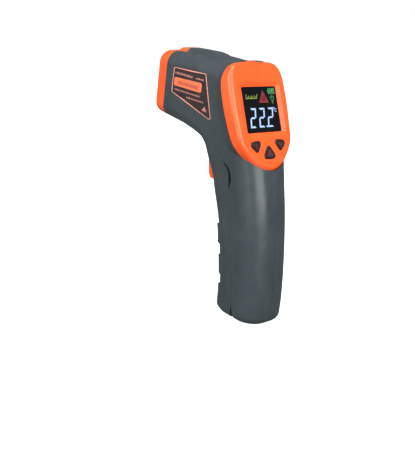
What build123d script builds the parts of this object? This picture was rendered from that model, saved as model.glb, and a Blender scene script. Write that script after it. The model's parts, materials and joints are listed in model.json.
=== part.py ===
from build123d import *
import math
import os

# A pistol-shaped infrared thermometer, in millimetres.
# +Y looks out of the muzzle, +Z is up and +X is the user's right.
# The origin is the centre of the lens opening, on the muzzle's front plane.

os.makedirs("parts", exist_ok=True)

# ---------------------------------------------------------------- driving dimensions
WALL = 2.0                     # moulded wall of the housings
GAP = 0.25                     # visible gap between separate mouldings
BEZEL_GAP = 0.42               # wider parting behind the bezel
FIT = 0.05                     # radial running fit of a pin in its bore
BEYOND = 60.0                  # reach of a cutting solid past the object

DISPLAY_TILT = 23.3            # how far the display face leans back
DISPLAY_CENTRE = (0, -78.0, 2.5)
GRIP_RAKE = 12.0               # lean of the battery axis
RING_BACK = -10.7              # rear edge of the nozzle
GRIP_BOTTOM = -120.5

BEZEL_TOP = 27.9               # from the display's centre, up the face
BEZEL_FLOOR = 0.9              # depth of the dish around the display
BEZEL_WALL = 1.6
BEZEL_EDGE_RADIUS = 2.6
WINDOW_SIZE = (27.5, 26.2)
NOZZLE_EDGE_RADIUS = 5.0

LENS_BORE = 8.0                # radius of the straight bore in the muzzle
LENS_BORE_DEPTH = 3.0
LENS_RADIUS = 7.5
TUBE_RADIUS = 9.4
TUBE_BACK = -34.0
LASER_Z = 14.5
LASER_EXIT = 3.3               # radius of the laser window's seat
LASER_RADIUS = 3.0

TRIGGER_PIVOT = (-50.0, -11.0)  # Y, Z of the trigger's pin
TRIGGER_HALF = 4.0
TRIGGER_GAP = 0.6               # each side of the trigger in its slot
HUB_RADIUS = 3.4
HUB_HALF = 4.9
DOOR_HINGE = (-87.2, -116.6)    # Y, Z of the door's pin
PIN_RADIUS = 1.5
HINGE_PIN_RADIUS = 1.25
HINGE_PIN_HALF = 13.1           # half length of the door's pin
HINGE_KNUCKLE = (8.7, 12.7)     # X of a knuckle on the door
HINGE_LUG = (4.0, 8.0)          # X of a lug on the housing
HINGE_LUG_GAP = 0.4
KNUCKLE_RADIUS = 3.3
KNUCKLE_SWEEP = 3.55            # what the door's rear keeps to as it turns
TRIGGER_PIN_HALF = 16.1

KEY_TRAVEL = 0.6
KEY_PROUD = 0.5

sin_tilt = math.sin(math.radians(DISPLAY_TILT))
cos_tilt = math.cos(math.radians(DISPLAY_TILT))
sin_rake = math.sin(math.radians(GRIP_RAKE))
cos_rake = math.cos(math.radians(GRIP_RAKE))

# Local frames. HEAD: x across, y up the display face, z out of it towards the user.
HEAD = Plane(origin=DISPLAY_CENTRE, x_dir=(1, 0, 0), z_dir=(0, -cos_tilt, sin_tilt))
# GRIP: x across, y forward, z up the battery axis. Its origin is the batteries' middle.
BATTERY_CENTRE = (0, -79.8, -84.0)
GRIP = Plane(origin=BATTERY_CENTRE, x_dir=(1, 0, 0), z_dir=(0, sin_rake, cos_rake))


# ---------------------------------------------------------------- small helpers
def block(x, y, z):
    """A box from three (low, high) pairs."""
    size = [pair[1] - pair[0] for pair in (x, y, z)]
    middle = [(pair[0] + pair[1]) / 2 for pair in (x, y, z)]
    return Pos(*middle) * Box(*size)


def side_prism(points, low, high):
    """A (Y, Z) polygon stretched across X from low to high."""
    face = make_face(Polyline(*[(0, y, z) for y, z in points], close=True))
    return Pos(low, 0, 0) * extrude(face, high - low, dir=(1, 0, 0))


def rod(radius, start, end):
    """A cylinder between two points."""
    axis = Vector(*end) - Vector(*start)
    return extrude(Plane(origin=start, z_dir=axis) * Circle(radius), axis.length)


def tube(outer, inner, start, end):
    """A hollow cylinder between two points."""
    return rod(outer, start, end) - rod(inner, start, end)


def cross_pin(radius, centre, low, high):
    """A cylinder along X at a (Y, Z) centre."""
    return rod(radius, (low, *centre), (high, *centre))


def lens_ring(outer, inner, front, back):
    """A ring on the lens axis between two Y planes."""
    return tube(outer, inner, (0, back, 0), (0, front, 0))


def in_head(shape):
    """Place a shape drawn in the display face's frame."""
    return HEAD.location * shape


def in_grip(shape):
    """Place a shape drawn in the battery frame."""
    return GRIP.location * shape


def across(span, side, grow=0.0):
    """An X range given for the right side, mirrored for the left, widened by grow."""
    return sorted(((span[0] - grow) * side, (span[1] + grow) * side))


def half_space(side):
    """Everything on one side of the middle plane: -1 left, +1 right."""
    low, high = (-BEYOND, 0) if side < 0 else (0, BEYOND)
    return block((low, high), (-200, 60), (-200, 100))


def group(*shapes):
    """Separate solids that share one node."""
    return Compound(children=[solid for shape in shapes for solid in shape.solids()])


def write(name, shape):
    """Save one node."""
    solids = shape.solids()
    shape = solids[0] if len(solids) == 1 else Compound(children=list(solids))
    export_step(shape, f"parts/{name}.step")


# ---------------------------------------------------------------- the body envelope
# Stations follow the body round its bend, muzzle to grip end. Each gives the (Y, Z)
# point on the throat side, the one on the top or back, the half width, and the
# corner radii on the throat side and on the outer side. The first two and the last
# two lie past the body's ends, which keeps the surface between them smooth.
STATIONS = [
    ((22, -12.4), (22, 22.4), 16.2, 7, 8),
    ((11, -13.3), (11, 23.0), 16.7, 7, 8),
    ((0, -14.2), (0, 23.6), 17.2, 7, 8),
    ((-11, -15.2), (-11, 24.5), 17.7, 7, 8),
    ((-24, -16.3), (-25, 25.0), 18.1, 7, 8),
    ((-35, -18.0), (-40, 25.4), 18.4, 7, 8),
    ((-42.5, -20.0), (-54, 25.8), 18.6, 7.5, 10),
    ((-46.2, -21.9), (-68.5, 26.4), 18.6, 8, 12),
    ((-48.6, -24.6), (-76.5, 14.0), 18.4, 8.5, 12),
    ((-49.9, -28.0), (-84, -5.0), 18.1, 9, 12),
    ((-51.5, -33.0), (-90.3, -22.0), 17.5, 10, 13),
    ((-54.3, -39.5), (-94.5, -36.5), 16.9, 11, 13.4),
    ((-57.8, -49.5), (-97.9, -49.0), 16.5, 11, 13.4),
    ((-62.7, -62.0), (-100.8, -62.6), 16.4, 11, 13.4),
    ((-67.0, -78.4), (-103.5, -79.0), 16.4, 11, 13.4),
    ((-70.4, -95.0), (-105.6, -95.0), 16.35, 11, 13.4),
    ((-72.0, -108.0), (-106.7, -108.5), 16.3, 11, 13.4),
    ((-72.4, GRIP_BOTTOM), (-107.0, GRIP_BOTTOM), 16.2, 11, 13.4),
    ((-72.6, -133.0), (-107.2, -133.0), 16.1, 11, 13.4),
    ((-72.8, -146.0), (-107.4, -146.0), 16.0, 11, 13.4),
]
BOTTOM_EDGE_RADIUS = 5.0


def station_face(station, inset):
    """One cross-section of the body, shrunk by a wall thickness."""
    inner, outer, half_width, inner_radius, outer_radius = station
    start = Vector(0, *inner)
    direction = (Vector(0, *outer) - start).normalized()
    height = (Vector(0, *outer) - start).length - 2 * inset
    plane = Plane(origin=start + direction * inset, x_dir=(1, 0, 0),
                  z_dir=Vector(1, 0, 0).cross(direction))
    w = half_width - inset
    a = inner_radius - inset
    b = outer_radius - inset
    k = 1 - math.sqrt(0.5)
    face = make_face([
        Line((a - w, 0), (w - a, 0)),
        ThreePointArc((w - a, 0), (w - a * k, a * k), (w, a)),
        Line((w, a), (w, height - b)),
        ThreePointArc((w, height - b), (w - b * k, height - b * k), (w - b, height)),
        Line((w - b, height), (b - w, height)),
        ThreePointArc((b - w, height), (b * k - w, height - b * k), (-w, height - b)),
        Line((-w, height - b), (-w, a)),
        ThreePointArc((-w, a), (a * k - w, a * k), (a - w, 0)),
    ])
    return plane * face


def body(inset):
    """The bent body from the muzzle to the grip's end, shrunk by a wall thickness."""
    shape = loft([station_face(station, inset) for station in STATIONS])
    shape &= block((-BEYOND, BEYOND), (-200, 0), (GRIP_BOTTOM + inset, BEYOND))
    bottom = shape.faces().sort_by(Axis.Z)[0]
    return fillet(bottom.edges(), BOTTOM_EDGE_RADIUS - inset)


# ---------------------------------------------------------------- the display end
# Half width of the egg-shaped face against the distance below its top.
FACE_OUTLINE = [(2.5, 17.6), (7.3, 20.8), (14.4, 21.9), (24.7, 22.2), (39.4, 21.5),
                (46.4, 20.6), (51.2, 18.2), (55.8, 14.7), (60.4, 9.6)]
FACE_HEIGHT = 63.2
TOP_CROWN = (8.0, 0.5)         # a point on the crowned top edge: across, down


def face_wire(inset):
    """The egg outline in the display frame, moved inward by inset."""
    right = [(TOP_CROWN[0], TOP_CROWN[1])] + [(x, down) for down, x in FACE_OUTLINE]
    right = [(x, BEZEL_TOP - down) for x, down in right]
    points = [(0, BEZEL_TOP)] + right + [(0, BEZEL_TOP - FACE_HEIGHT)]
    points += [(-x, y) for x, y in reversed(right)]
    moved = []
    for index, (x, y) in enumerate(points):
        before = points[index - 1]
        after = points[(index + 1) % len(points)]
        along = (after[0] - before[0], after[1] - before[1])
        size = math.hypot(*along)
        moved.append((x + along[1] / size * inset, y - along[0] / size * inset))
    return Spline(*moved, periodic=True)


def face_prism(inset, low, high):
    """The egg outline as a solid between two heights over the display face."""
    return extrude(Pos(0, 0, low) * make_face(face_wire(inset)), high - low, dir=(0, 0, 1))


# The bezel's rear edge, seen from the side: (up the face, height over the face).
PARTING = [(34, 2.5), (31, -0.2), (27.9, -2.9), (24, -5.8), (19, -7.8), (8, -8.7),
           (-8, -8.4), (-22, -6.6), (-31, -4.6), (-40, -2.4)]


def above_parting(shift):
    """The space on the user's side of the bezel's rear edge, as a display-frame solid."""
    curve = Spline(*[(0, up, height + shift) for up, height in PARTING])
    first = (0, PARTING[0][0], PARTING[0][1] + shift)
    last = (0, PARTING[-1][0], PARTING[-1][1] + shift)
    roof = Polyline(last, (0, last[1], 30), (0, first[1], 30), first)
    face = make_face([curve, roof])
    return Pos(-BEYOND, 0, 0) * extrude(face, 2 * BEYOND, dir=(1, 0, 0))


def collar(inset):
    """The flare that widens the body to the bezel, shrunk by a wall thickness."""
    levels = [(-1.0, 0.5), (-5.0, 0.5), (-9.0, 0.6), (-12.0, 1.8), (-15.0, 3.1), (-19.0, 4.3)]
    faces = [Pos(0, 0, z) * make_face(face_wire(narrowing + inset)) for z, narrowing in levels]
    return in_head(loft(faces))


bezel_space = in_head(face_prism(0, -14, 25) & above_parting(0))

# ---------------------------------------------------------------- hump over the laser
HUMP_SIDE = [(-6.6, 21.0), (-6.6, 23.6), (-8.8, 26.2), (-12.4, 26.9), (-22.9, 27.4),
             (-35.3, 27.8), (-40.2, 27.1), (-47.5, 24.0), (-47.5, 21.0)]
HUMP_CAP_BACK = -15.0          # the front of the ridge is a separate cap
CAP_FOOT = 22.5
CAP_FRONT_WALL = -8.6          # Y of the back of the cap's front wall
CAP_WALL = 1.6


def hump(inset):
    """The ridge along the top of the barrel, shrunk by a wall thickness."""
    side = side_prism([(y, z - inset) for y, z in HUMP_SIDE], -10, 10)
    half_top = 3.2 - inset * 0.5
    half_base = half_top + 7.0
    end_view = make_face(Polyline((-half_base, 60, 21), (half_base, 60, 21),
                                  (half_top, 60, 28 - inset), (-half_top, 60, 28 - inset),
                                  close=True))
    ridge = side & extrude(end_view, 140, dir=(0, -1, 0))
    return ridge


# ---------------------------------------------------------------- battery door
# The door's rear edge on the grip's side, from the throat to the bottom hinge.
SEAM = [(-40, -22.4), (-54, -23.2), (-62.2, -25.0), (-68.4, -28.9), (-72.6, -33.0),
        (-74.5, -38.0), (-75.2, -43.0), (-82.0, -75.0), (-88.9, -107.5)]


def door_space(shift):
    """Everything in front of the door's rear edge, moved back by shift."""
    curve = Spline(*[(0, y - shift, z + shift * 0.6) for y, z in SEAM])
    start = (0, SEAM[0][0] - shift, SEAM[0][1] + shift * 0.6)
    end = (0, SEAM[-1][0] - shift, SEAM[-1][1] + shift * 0.6)
    knee = (0, -89.4 - shift, -113.5)
    around = Polyline(end, knee, (0, -88.6 - shift, -119.6), (0, -87.6 - shift, -135),
                      (0, -20, -135), (0, -20, SEAM[0][1] + shift * 0.6), start)
    face = make_face([curve, around])
    return Pos(-BEYOND, 0, 0) * extrude(face, 2 * BEYOND, dir=(1, 0, 0))


# Clearance behind the door's hinge, which shows as a narrow wedge at the grip's end.
HINGE_WEDGE = [(-88.3, -106.5), (-91.4, -117), (-91.4, -128), (-60, -128), (-60, -106.5)]
hinge_wedge = side_prism(HINGE_WEDGE, -BEYOND, BEYOND)

# Finger ribs across the door's front: the top of each, its height and how proud it is.
RIBS = [(-68.2, 10.5, 1.7), (-86.4, 10.5, 1.6), (-104.2, 13.5, 1.6)]
RIB_SINK = 0.4                 # how far a rib's sides stay inside the grip's sides


def front_line(z):
    """Y of the grip's front at a height."""
    fronts = [station[0] for station in STATIONS]
    for (high_y, high_z), (low_y, low_z) in zip(fronts, fronts[1:]):
        if low_z <= z < high_z:
            return low_y + (high_y - low_y) * (z - low_z) / (high_z - low_z)
    return fronts[-1][0]


def finger_rib(top, height, proud):
    """One rib: a steep upper side, a rounded crest and a long fading lower side."""
    profile = [(0, -0.9), (0.13, 0.4), (0.34, 1.0), (0.66, 0.62), (1.0, -0.9)]
    points = []
    for part, rise in profile:
        z = top - height * part
        points.append((0, front_line(z) + proud * rise, z))
    back = [(0, points[-1][1] - 6, points[-1][2]), (0, points[0][1] - 6, points[0][2])]
    face = make_face([Spline(*points), Polyline(points[-1], *back, points[0])])
    ridge = Pos(-BEYOND, 0, 0) * extrude(face, 2 * BEYOND, dir=(1, 0, 0))
    return ridge & body_slim.moved(Location((0, proud + RIB_SINK, 0)))


print("envelope")
body_outer = body(0)
body_slim = body(RIB_SINK)
body_mid = body(WALL * 0.5)
body_tongue = body(WALL + 0.3)
body_spigot = body(WALL + 0.1)
body_spigot_bore = body(WALL + 1.2)
collar_outer = collar(0)
collar_inner = collar(WALL)
body_inner = body(WALL)
envelope = body_outer + collar_outer + hump(0)
cavity = body_inner + collar_inner + (hump(WALL) & block((-9, 9), (-44, -2), (15, 30)))
ring_zone = block((-BEYOND, BEYOND), (RING_BACK, 60), (-60, 60))

# ---------------------------------------------------------------- housings
print("housings")
SCREW_POINTS = [(-53.0, 17.0), (-62.0, -17.0), (-92.0, -54.0), (-95.0, -84.0), (-98.5, -110.0)]
NOTCH_CENTRE = (-66.7, -38.7)   # Y, Z of the fingernail notch's arc
NOTCH_RADIUS = 10.1
NOTCH_FLOOR = 14.0
SCREW_SHAFT = 1.1
SCREW_HEAD = 2.3
BOSS_RADIUS = 2.7
TUBE_RIBS = (-15.5, -29.0)
SPRING_Y = -61.0
SPRING_LOW = -8.4               # seat on the trigger's lever
SPRING_HIGH = 1.95              # seat under the housing's shelf
SPRING_SHELF = (-63.4, -57.0)   # Y of the shelf

trigger_slot = block((-TRIGGER_HALF - TRIGGER_GAP, TRIGGER_HALF + TRIGGER_GAP), (-53, -35.5), (-50, -14))
cap_seat = hump(0) & block((-20, 20), (HUMP_CAP_BACK, 5), (CAP_FOOT, 40))
shell = (envelope - cavity - bezel_space - door_space(GAP) - hinge_wedge - ring_zone
         - trigger_slot - cap_seat)

SEAM_GROOVE_TOP = -54.0         # the rear parting line shows as a fine groove below this
seam_groove = block((-0.14, 0.14), (-120, -80), (-130, SEAM_GROOVE_TOP)) & (body_outer - body(0.5))


def inside(shape):
    """Keep only what lies inside the body's inner face, sunk a little into the wall."""
    return shape & body_mid


def housing(side):
    """One half of the casing with its bosses, tube ribs and pin seats."""
    half = shell & half_space(side)
    wall_x = 18.5 * side
    extras = []
    for y, z in SCREW_POINTS:
        extras.append(cross_pin(BOSS_RADIUS, (y, z), *sorted((0, wall_x))))
    for y in TUBE_RIBS:
        rib = block(sorted((0, wall_x)), (y - 0.8, y + 0.8), (-18, LASER_Z - LASER_RADIUS - 0.4))
        extras.append(rib - rod(TUBE_RADIUS + FIT, (0, -60, 0), (0, 5, 0)))
    extras.append(cross_pin(HUB_RADIUS - 0.2, TRIGGER_PIVOT, *sorted(((HUB_HALF + 0.3) * side, wall_x))))
    extras.append(block(sorted((0, wall_x)), SPRING_SHELF, (SPRING_HIGH + FIT, SPRING_HIGH + 1.65)))
    lug = side_prism([(-100, -119.5), (-100, -113.5), (-90, -113.4), (-87.2, -113.6),
                      (-84.6, -115.6), (-84.8, -118.4), (-87.2, -119.6)],
                     *across(HINGE_LUG, side))
    result = half
    for extra in extras:
        result += inside(extra) & half_space(side)
    result += lug & body_mid
    result -= cross_pin(PIN_RADIUS, TRIGGER_PIVOT, -TRIGGER_PIN_HALF - 0.1, TRIGGER_PIN_HALF + 0.1)
    result -= cross_pin(HINGE_PIN_RADIUS, DOOR_HINGE, -HINGE_PIN_HALF - 0.1, HINGE_PIN_HALF + 0.1)
    for y, z in SCREW_POINTS:
        if side > 0:
            result -= cross_pin(SCREW_SHAFT + 0.15, (y, z), -1, 30)
            result -= cross_pin(SCREW_HEAD + 0.15, (y, z), 7.0, 30)
        else:
            result -= cross_pin(SCREW_SHAFT, (y, z), -9.0, 1)
    # Fingernail notch: a crescent through the wall, behind the door's upper corner.
    notch = cross_pin(NOTCH_RADIUS, NOTCH_CENTRE, *sorted((NOTCH_FLOOR * side, 30 * side)))
    result -= notch - door_space(0)
    result -= seam_groove
    return result


left_housing = housing(-1)
right_housing = housing(1)

# ---------------------------------------------------------------- nozzle
print("nozzle")
nozzle_outer = body_outer & ring_zone
nozzle_outer = fillet(nozzle_outer.faces().sort_by(Axis.Y)[-1].edges(), NOZZLE_EDGE_RADIUS)
nozzle_inner = body_inner & block((-BEYOND, BEYOND), (-40, -LENS_BORE_DEPTH), (-60, 60))
spigot = body_spigot & block((-BEYOND, BEYOND), (-13.2, -9.0), (-60, 60))
spigot += body_mid & block((-BEYOND, BEYOND), (-10.4, -9.0), (-60, 60))
nozzle = nozzle_outer - nozzle_inner
nozzle += spigot - body_spigot_bore
nozzle -= cap_seat
nozzle -= rod(LENS_BORE, (0, -10, 0), (0, 5, 0))
nozzle -= rod(1.6, (0, -10, LASER_Z), (0, 5, LASER_Z))
nozzle -= rod(LASER_EXIT, (0, -1.0, LASER_Z), (0, 5, LASER_Z))

laser_cap = hump(0) & block((-20, 20), (HUMP_CAP_BACK + GAP, 0), (CAP_FOOT + FIT, 40))
laser_cap -= hump(CAP_WALL) & block((-20, 20), (-30, CAP_FRONT_WALL), (0, 40))

# ---------------------------------------------------------------- bezel, window, keys
print("bezel")
dish = loft([Pos(0, 0, -BEZEL_FLOOR) * RectangleRounded(28.0, 26.8, 1.3),
             Pos(0, 0, 0.01) * RectangleRounded(33.4, 31.6, 3.4)])
bezel_block = face_prism(0, -14, 0)
bezel_block = fillet(bezel_block.faces().sort_by(Axis.Z)[-1].edges(), BEZEL_EDGE_RADIUS)
bezel_shell = bezel_block - face_prism(BEZEL_WALL, -20, -BEZEL_WALL)
dish_floor = Pos(0, 0, -2.3) * Box(33.0, 31.6, 1.6)
bezel_shell += dish_floor & face_prism(BEZEL_WALL * 0.5, -20, 0)
bezel_shell &= above_parting(BEZEL_GAP)
bezel_shell -= dish
bezel_shell -= extrude(Pos(0, 0, -6) * RectangleRounded(*WINDOW_SIZE, 1.0), 12)

KEY_SPREAD = 9.6
KEY_CORNER = 1.5
KEY_BULGE = 0.4                # how far each side of a key bows outward
KEY_TURN = 7


def key_outline(width, height, points_up, grow):
    """A triangle with bowed sides and well rounded corners, moved outward by grow."""
    slant = math.hypot(width / 2, height)
    inner_radius = width * height / (width + 2 * slant)
    scale = 1 + grow / inner_radius
    up = 1 if points_up else -1
    centre = up * (inner_radius - height / 2)
    base = centre - up * inner_radius * scale
    tip = centre + up * (height - inner_radius) * scale
    half = width / 2 * scale
    corners = [(-half, base), (half, base), (0, tip)]
    sides = []
    for index, start in enumerate(corners):
        end = corners[(index + 1) % 3]
        middle = Vector((start[0] + end[0]) / 2, (start[1] + end[1]) / 2)
        bow = (middle - Vector(0, centre)).normalized() * KEY_BULGE
        sides.append(ThreePointArc(start, middle + bow, end))
    triangle = make_face(sides)
    return fillet(triangle.vertices(), KEY_CORNER + grow)


# Across, up the face, width, height, points up, turn.
KEYS = {
    "left_key": (-KEY_SPREAD, -21.5, 9.1, 6.3, False, KEY_TURN),
    "centre_key": (0, -24.1, 10.3, 7.6, True, 0),
    "right_key": (KEY_SPREAD, -21.5, 9.1, 6.3, False, -KEY_TURN),
}
BOARD_TOP = -9.4
BOARD_BOTTOM = -10.8
SWITCH_TOP = -7.2
KEY_CLEARANCE = 0.12           # left between a pressed key and its switch


def key(spec, grow, low, high):
    """A key's outline as a solid between two heights over the face."""
    x, y, width, height, points_up, turn = spec
    face = Pos(x, y, low) * Rot(0, 0, turn) * key_outline(width, height, points_up, grow)
    return extrude(face, high - low, dir=(0, 0, 1))


def full_key(spec):
    """Cap, retaining flange under the bezel and the stem over the switch."""
    cap = key(spec, 0, -3.0, KEY_PROUD)
    cap = fillet(cap.faces().sort_by(Axis.Z)[-1].edges(), 0.35)
    flange = key(spec, 0.9, -3.0, -BEZEL_WALL - 0.35)
    stem = Pos(spec[0], spec[1], 0) * Cylinder(1.3, 4.0)
    stem = Pos(0, 0, SWITCH_TOP + KEY_TRAVEL + KEY_CLEARANCE + 2.0) * stem
    return in_head(cap + flange + stem)


for spec in KEYS.values():
    bezel_shell -= key(spec, GAP, -6, 6)
BOARD_SCREWS = [(-14.2, 18.4), (14.2, 18.4), (-12.4, -26.8), (12.4, -26.8)]
for x, y in BOARD_SCREWS:
    post = Pos(x, y, (BOARD_TOP - 1.0) / 2) * Cylinder(1.5, -BOARD_TOP - 1.0)
    post -= Pos(x, y, BOARD_TOP + 3.0) * Cylinder(0.8, 6.2)
    bezel_shell += post
display_bezel = in_head(bezel_shell)

WINDOW_BACK = -3.15
window = extrude(Pos(0, 0, WINDOW_BACK) * RectangleRounded(*[s - 0.2 for s in WINDOW_SIZE], 0.9),
                 -WINDOW_BACK - BEZEL_FLOOR - 0.05)
window += extrude(Pos(0, 0, WINDOW_BACK - 0.8) * RectangleRounded(30.4, 29.0, 1.2), 0.8)
display_window = in_head(window)

# ---------------------------------------------------------------- display module
print("display")
LCD_FRONT = -4.3
lcd_panel = in_head(Pos(0, 0, LCD_FRONT - 0.9) * Box(28.8, 28.0, 1.8))
backlight = in_head(Pos(0, 0, LCD_FRONT - 2.7) * Box(28.8, 24.0, 1.7))
frame_depth = LCD_FRONT - BOARD_TOP - 0.1
frame = Pos(0, 0, (LCD_FRONT + BOARD_TOP) / 2) * (Box(31.6, 30.8, frame_depth)
                                                  - Box(29.2, 28.4, 20))
lcd_frame = in_head(frame)
strips = [Pos(0, y, (LCD_FRONT - 1.8 + BOARD_TOP) / 2) * Box(26, 1.6, LCD_FRONT - 1.9 - BOARD_TOP)
          for y in (-13.2, 13.2)]
contact_strips = in_head(group(*strips))

board = face_prism(3.5, BOARD_BOTTOM, BOARD_TOP)
for x, y in BOARD_SCREWS:
    board -= Pos(x, y, BOARD_TOP) * Cylinder(0.95, 6)
main_board = in_head(board)
board_screws = []
for x, y in BOARD_SCREWS:
    shaft = Pos(x, y, BOARD_BOTTOM + 2.2) * Cylinder(0.8, 4.4)
    head = Pos(x, y, BOARD_BOTTOM - 0.5) * Cylinder(1.6, 1.0)
    board_screws.append(shaft + head - Pos(x, y, BOARD_BOTTOM - 1) * Box(2.2, 0.4, 0.8))
board_screws = in_head(group(*board_screws))
key_switches = []
for spec in KEYS.values():
    switch = Pos(spec[0], spec[1], 0) * (Pos(0, 0, -8.5) * Box(4.6, 4.6, 1.75)
                                         + Pos(0, 0, SWITCH_TOP - 0.45) * Cylinder(1.2, 0.9))
    key_switches.append(switch)
key_switches = in_head(group(*key_switches))
chips = [(0, 2, 9, 9, 1.4), (-10, -6, 5, 4, 1.2), (9, -8, 4, 6, 1.2), (8, 12, 3.2, 8.0, 2.4)]
board_chips = in_head(group(*[Pos(x, y, BOARD_BOTTOM - t / 2 - 0.02) * Box(w, h, t)
                              for x, y, w, h, t in chips]))
buzzer = in_head(Pos(-7.5, 14.2, BOARD_BOTTOM - 1.6) * (Cylinder(5.0, 3.1) - Pos(0, 0, -1.3)
                                                      * Cylinder(1.0, 1.4)))

# ---------------------------------------------------------------- lens and sensor
print("optics")
RETAINER_FRONT = -LENS_BORE_DEPTH - 0.15
RETAINER_BACK = RETAINER_FRONT - 1.8
LENS_BACK = RETAINER_BACK - 2.2
SEAL_BACK = LENS_BACK - 1.0
SENSOR_FRONT = -29.5
lens_retainer = lens_ring(8.6, 6.6, RETAINER_FRONT, RETAINER_BACK)
lens_disc = rod(LENS_RADIUS, (0, LENS_BACK, 0), (0, RETAINER_BACK - 0.05, 0))
dome = Pos(0, LENS_BACK - 18.2, 0) * Sphere(20.3)
infrared_lens = lens_disc & dome
lens_seal = lens_ring(LENS_RADIUS, 6.3, LENS_BACK - 0.02, SEAL_BACK)
sensor_tube = rod(TUBE_RADIUS, (0, TUBE_BACK, 0), (0, RETAINER_BACK - 0.03, 0))
sensor_tube -= rod(LENS_RADIUS + 0.03, (0, SEAL_BACK, 0), (0, 0, 0))
sensor_tube -= rod(5.8, (0, SENSOR_FRONT, 0), (0, 0, 0))
sensor_tube -= rod(4.8, (0, -60, 0), (0, SENSOR_FRONT + 1, 0))
for y in (-18.0, -20.5, -23.0):
    sensor_tube -= lens_ring(20, TUBE_RADIUS - 0.6, y, y - 1.0)
thermopile = rod(4.1, (0, -33.2, 0), (0, SENSOR_FRONT + 0.5, 0)) + rod(4.7, (0, -33.6, 0), (0, -33.1, 0))
thermopile -= rod(1.5, (0, SENSOR_FRONT, 0), (0, -20, 0))
for angle in (45, 135, 225, 315):
    x = 2.5 * math.cos(math.radians(angle))
    z = 2.5 * math.sin(math.radians(angle))
    thermopile += rod(0.25, (x, -37.6, z), (x, -33.4, z))
sensor_board = block((-11, 11), (-36.6, -35.4), (-10, 11))
sensor_board -= group(*[rod(0.3, (2.5 * cx * math.sqrt(0.5), -40, 2.5 * cz * math.sqrt(0.5)),
                            (2.5 * cx * math.sqrt(0.5), -30, 2.5 * cz * math.sqrt(0.5)))
                        for cx in (-1, 1) for cz in (-1, 1)])
sensor_chip = block((-3.0, 3.0), (-38.0, -36.62), (4.5, 9.5))

laser_window = rod(LASER_EXIT - 0.1, (0, -0.95, LASER_Z), (0, -0.2, LASER_Z))
laser_module = rod(LASER_RADIUS, (0, -22, LASER_Z), (0, -4.5, LASER_Z))
laser_module -= rod(1.8, (0, -7, LASER_Z), (0, 0, LASER_Z))
laser_board = block((-2.6, 2.6), (-28, -22.05), (LASER_Z - 0.5, LASER_Z + 0.5))
laser_holder = block((-6.5, 6.5), (-21.2, -17.2), (9.6, LASER_Z + 4.7))
laser_holder -= rod(LASER_RADIUS, (0, -40, LASER_Z), (0, 0, LASER_Z))
laser_holder -= rod(TUBE_RADIUS + 0.1, (0, -40, 0), (0, 0, 0))
laser_screws = []
for side in (-1, 1):
    start = (side * LASER_RADIUS, -19.2, LASER_Z)
    end = (side * 8.5, -19.2, LASER_Z)
    laser_holder -= rod(0.9, start, end)
    laser_screws.append(rod(0.9, start, end))
laser_screws = group(*laser_screws)

# ---------------------------------------------------------------- trigger
print("trigger")
TRIGGER_SIDE = [(-36.6, -16.5), (-37.2, -21.5), (-39.2, -28.0), (-41.4, -34.5), (-42.7, -40.0),
                (-43.2, -44.0), (-44.6, -46.2), (-47.5, -46.8), (-55.4, -43.0), (-54.4, -36.0),
                (-51.6, -29.0), (-52.0, -20.0), (-54.5, -13.0)]
TRIGGER_TOP = [(-54.5, -8.5), (-45.0, -8.5)]
trigger_blade = side_prism(TRIGGER_SIDE + TRIGGER_TOP, -TRIGGER_HALF, TRIGGER_HALF)
finger_edges = [edge for edge in trigger_blade.edges().filter_by_position(Axis.Y, -45.0, -36.0)
                if abs(edge.center().X) > TRIGGER_HALF - 0.1 and edge.center().Z < -18]
trigger_blade = fillet(finger_edges, 1.2)
hub = cross_pin(HUB_RADIUS, TRIGGER_PIVOT, -HUB_HALF, HUB_HALF)
lever = block((-2.5, 2.5), (-63.5, -50), (-11.5, -8.5))
trigger = trigger_blade + hub + lever
trigger -= cross_pin(PIN_RADIUS + FIT, TRIGGER_PIVOT, -10, 10)
trigger_pin = cross_pin(PIN_RADIUS, TRIGGER_PIVOT, -TRIGGER_PIN_HALF, TRIGGER_PIN_HALF)

coil = Helix(pitch=1.72, height=SPRING_HIGH - SPRING_LOW - 0.8, radius=1.9)
wire = Plane(origin=coil @ 0, z_dir=coil % 0) * Circle(0.3)
trigger_spring = Pos(0, SPRING_Y, SPRING_LOW + 0.4) * sweep(wire, path=coil, is_frenet=True)
trigger_switch = block((-3, 3), (-57.6, -53.6), (-4.6, -0.6))
trigger_switch += rod(1.0, (0, -55.6, -7.6), (0, -55.6, -4.6))
switch_bracket = block((-18.0, 10.0), (-58.4, -52.4), (-0.58, 0.9))
switch_bracket &= body(WALL + 0.02)

# ---------------------------------------------------------------- battery door
print("door")
door_zone = door_space(0)
door_shell = body_outer - body_inner
for rib in RIBS:
    door_shell += finger_rib(*rib) - body_inner
battery_door = door_shell & door_zone
battery_door -= block((-TRIGGER_HALF - TRIGGER_GAP, TRIGGER_HALF + TRIGGER_GAP), (-60, -30), (-49.5, 0))
for side in (-1, 1):
    battery_door -= block(across(HINGE_LUG, side, HINGE_LUG_GAP), (-95, -82.6), (-130, -112))
    knuckle = cross_pin(KNUCKLE_RADIUS, DOOR_HINGE, *across(HINGE_KNUCKLE, side))
    web = side_prism([(-87.2, -119.9), (-87.2, -113.3), (-80, -112.6), (-74.5, -119.4)],
                     *across(HINGE_KNUCKLE, side))
    battery_door += knuckle + (web & body_mid)
    tongue = block(across((13.6, 19.0), side), (-70.5, -66.5), (-38.0, -24.6))
    battery_door += tongue & (body_tongue + (body_mid & block((-30, 30), (-72, -60), (-60, -32))))
battery_door -= cross_pin(HINGE_PIN_RADIUS + FIT, DOOR_HINGE, -HINGE_PIN_HALF - 0.3,
                          HINGE_PIN_HALF + 0.3)
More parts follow.
